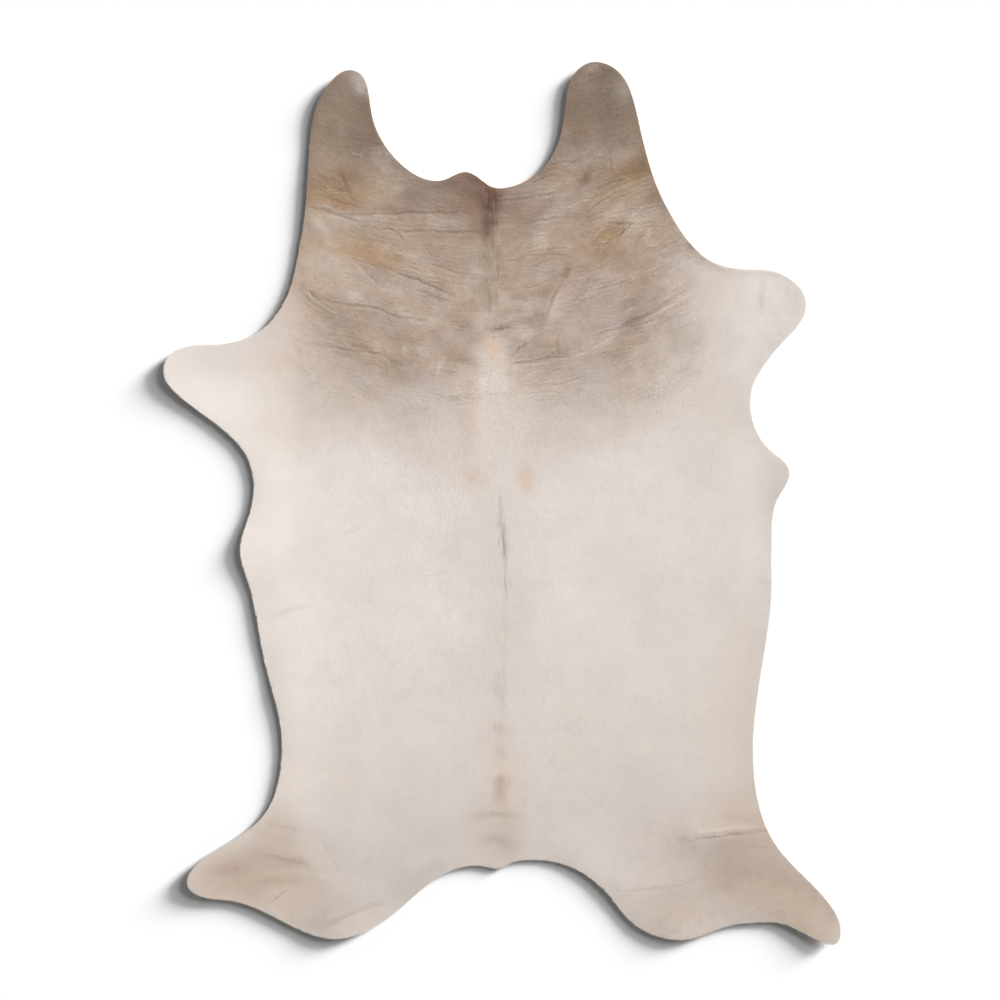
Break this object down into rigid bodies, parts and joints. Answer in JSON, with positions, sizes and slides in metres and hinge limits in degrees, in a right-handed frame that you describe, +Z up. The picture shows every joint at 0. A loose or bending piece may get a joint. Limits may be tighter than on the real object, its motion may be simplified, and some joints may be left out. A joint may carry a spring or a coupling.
{
  "type": "cowhide",
  "caption": "Whole cowhide with short hair, taupe at the neck and pale cream on the body, lying flat with its low creases and lifted flap ends.",
  "frame": {"origin": "middle of the hide's box, at floor height", "axes": "+Y towards the neck flaps, +Z up out of the hair side, +X towards the hide's right side seen from above with the neck at the top"},
  "size_m": [1.824, 2.381, 0.0178],
  "materials": {
    "hide": "short matt hair lying flat on the upper side, pale napped leather underneath"
  },
  "bodies": {
    "root": {"hide": "hide"}
  },
  "joints": []
}
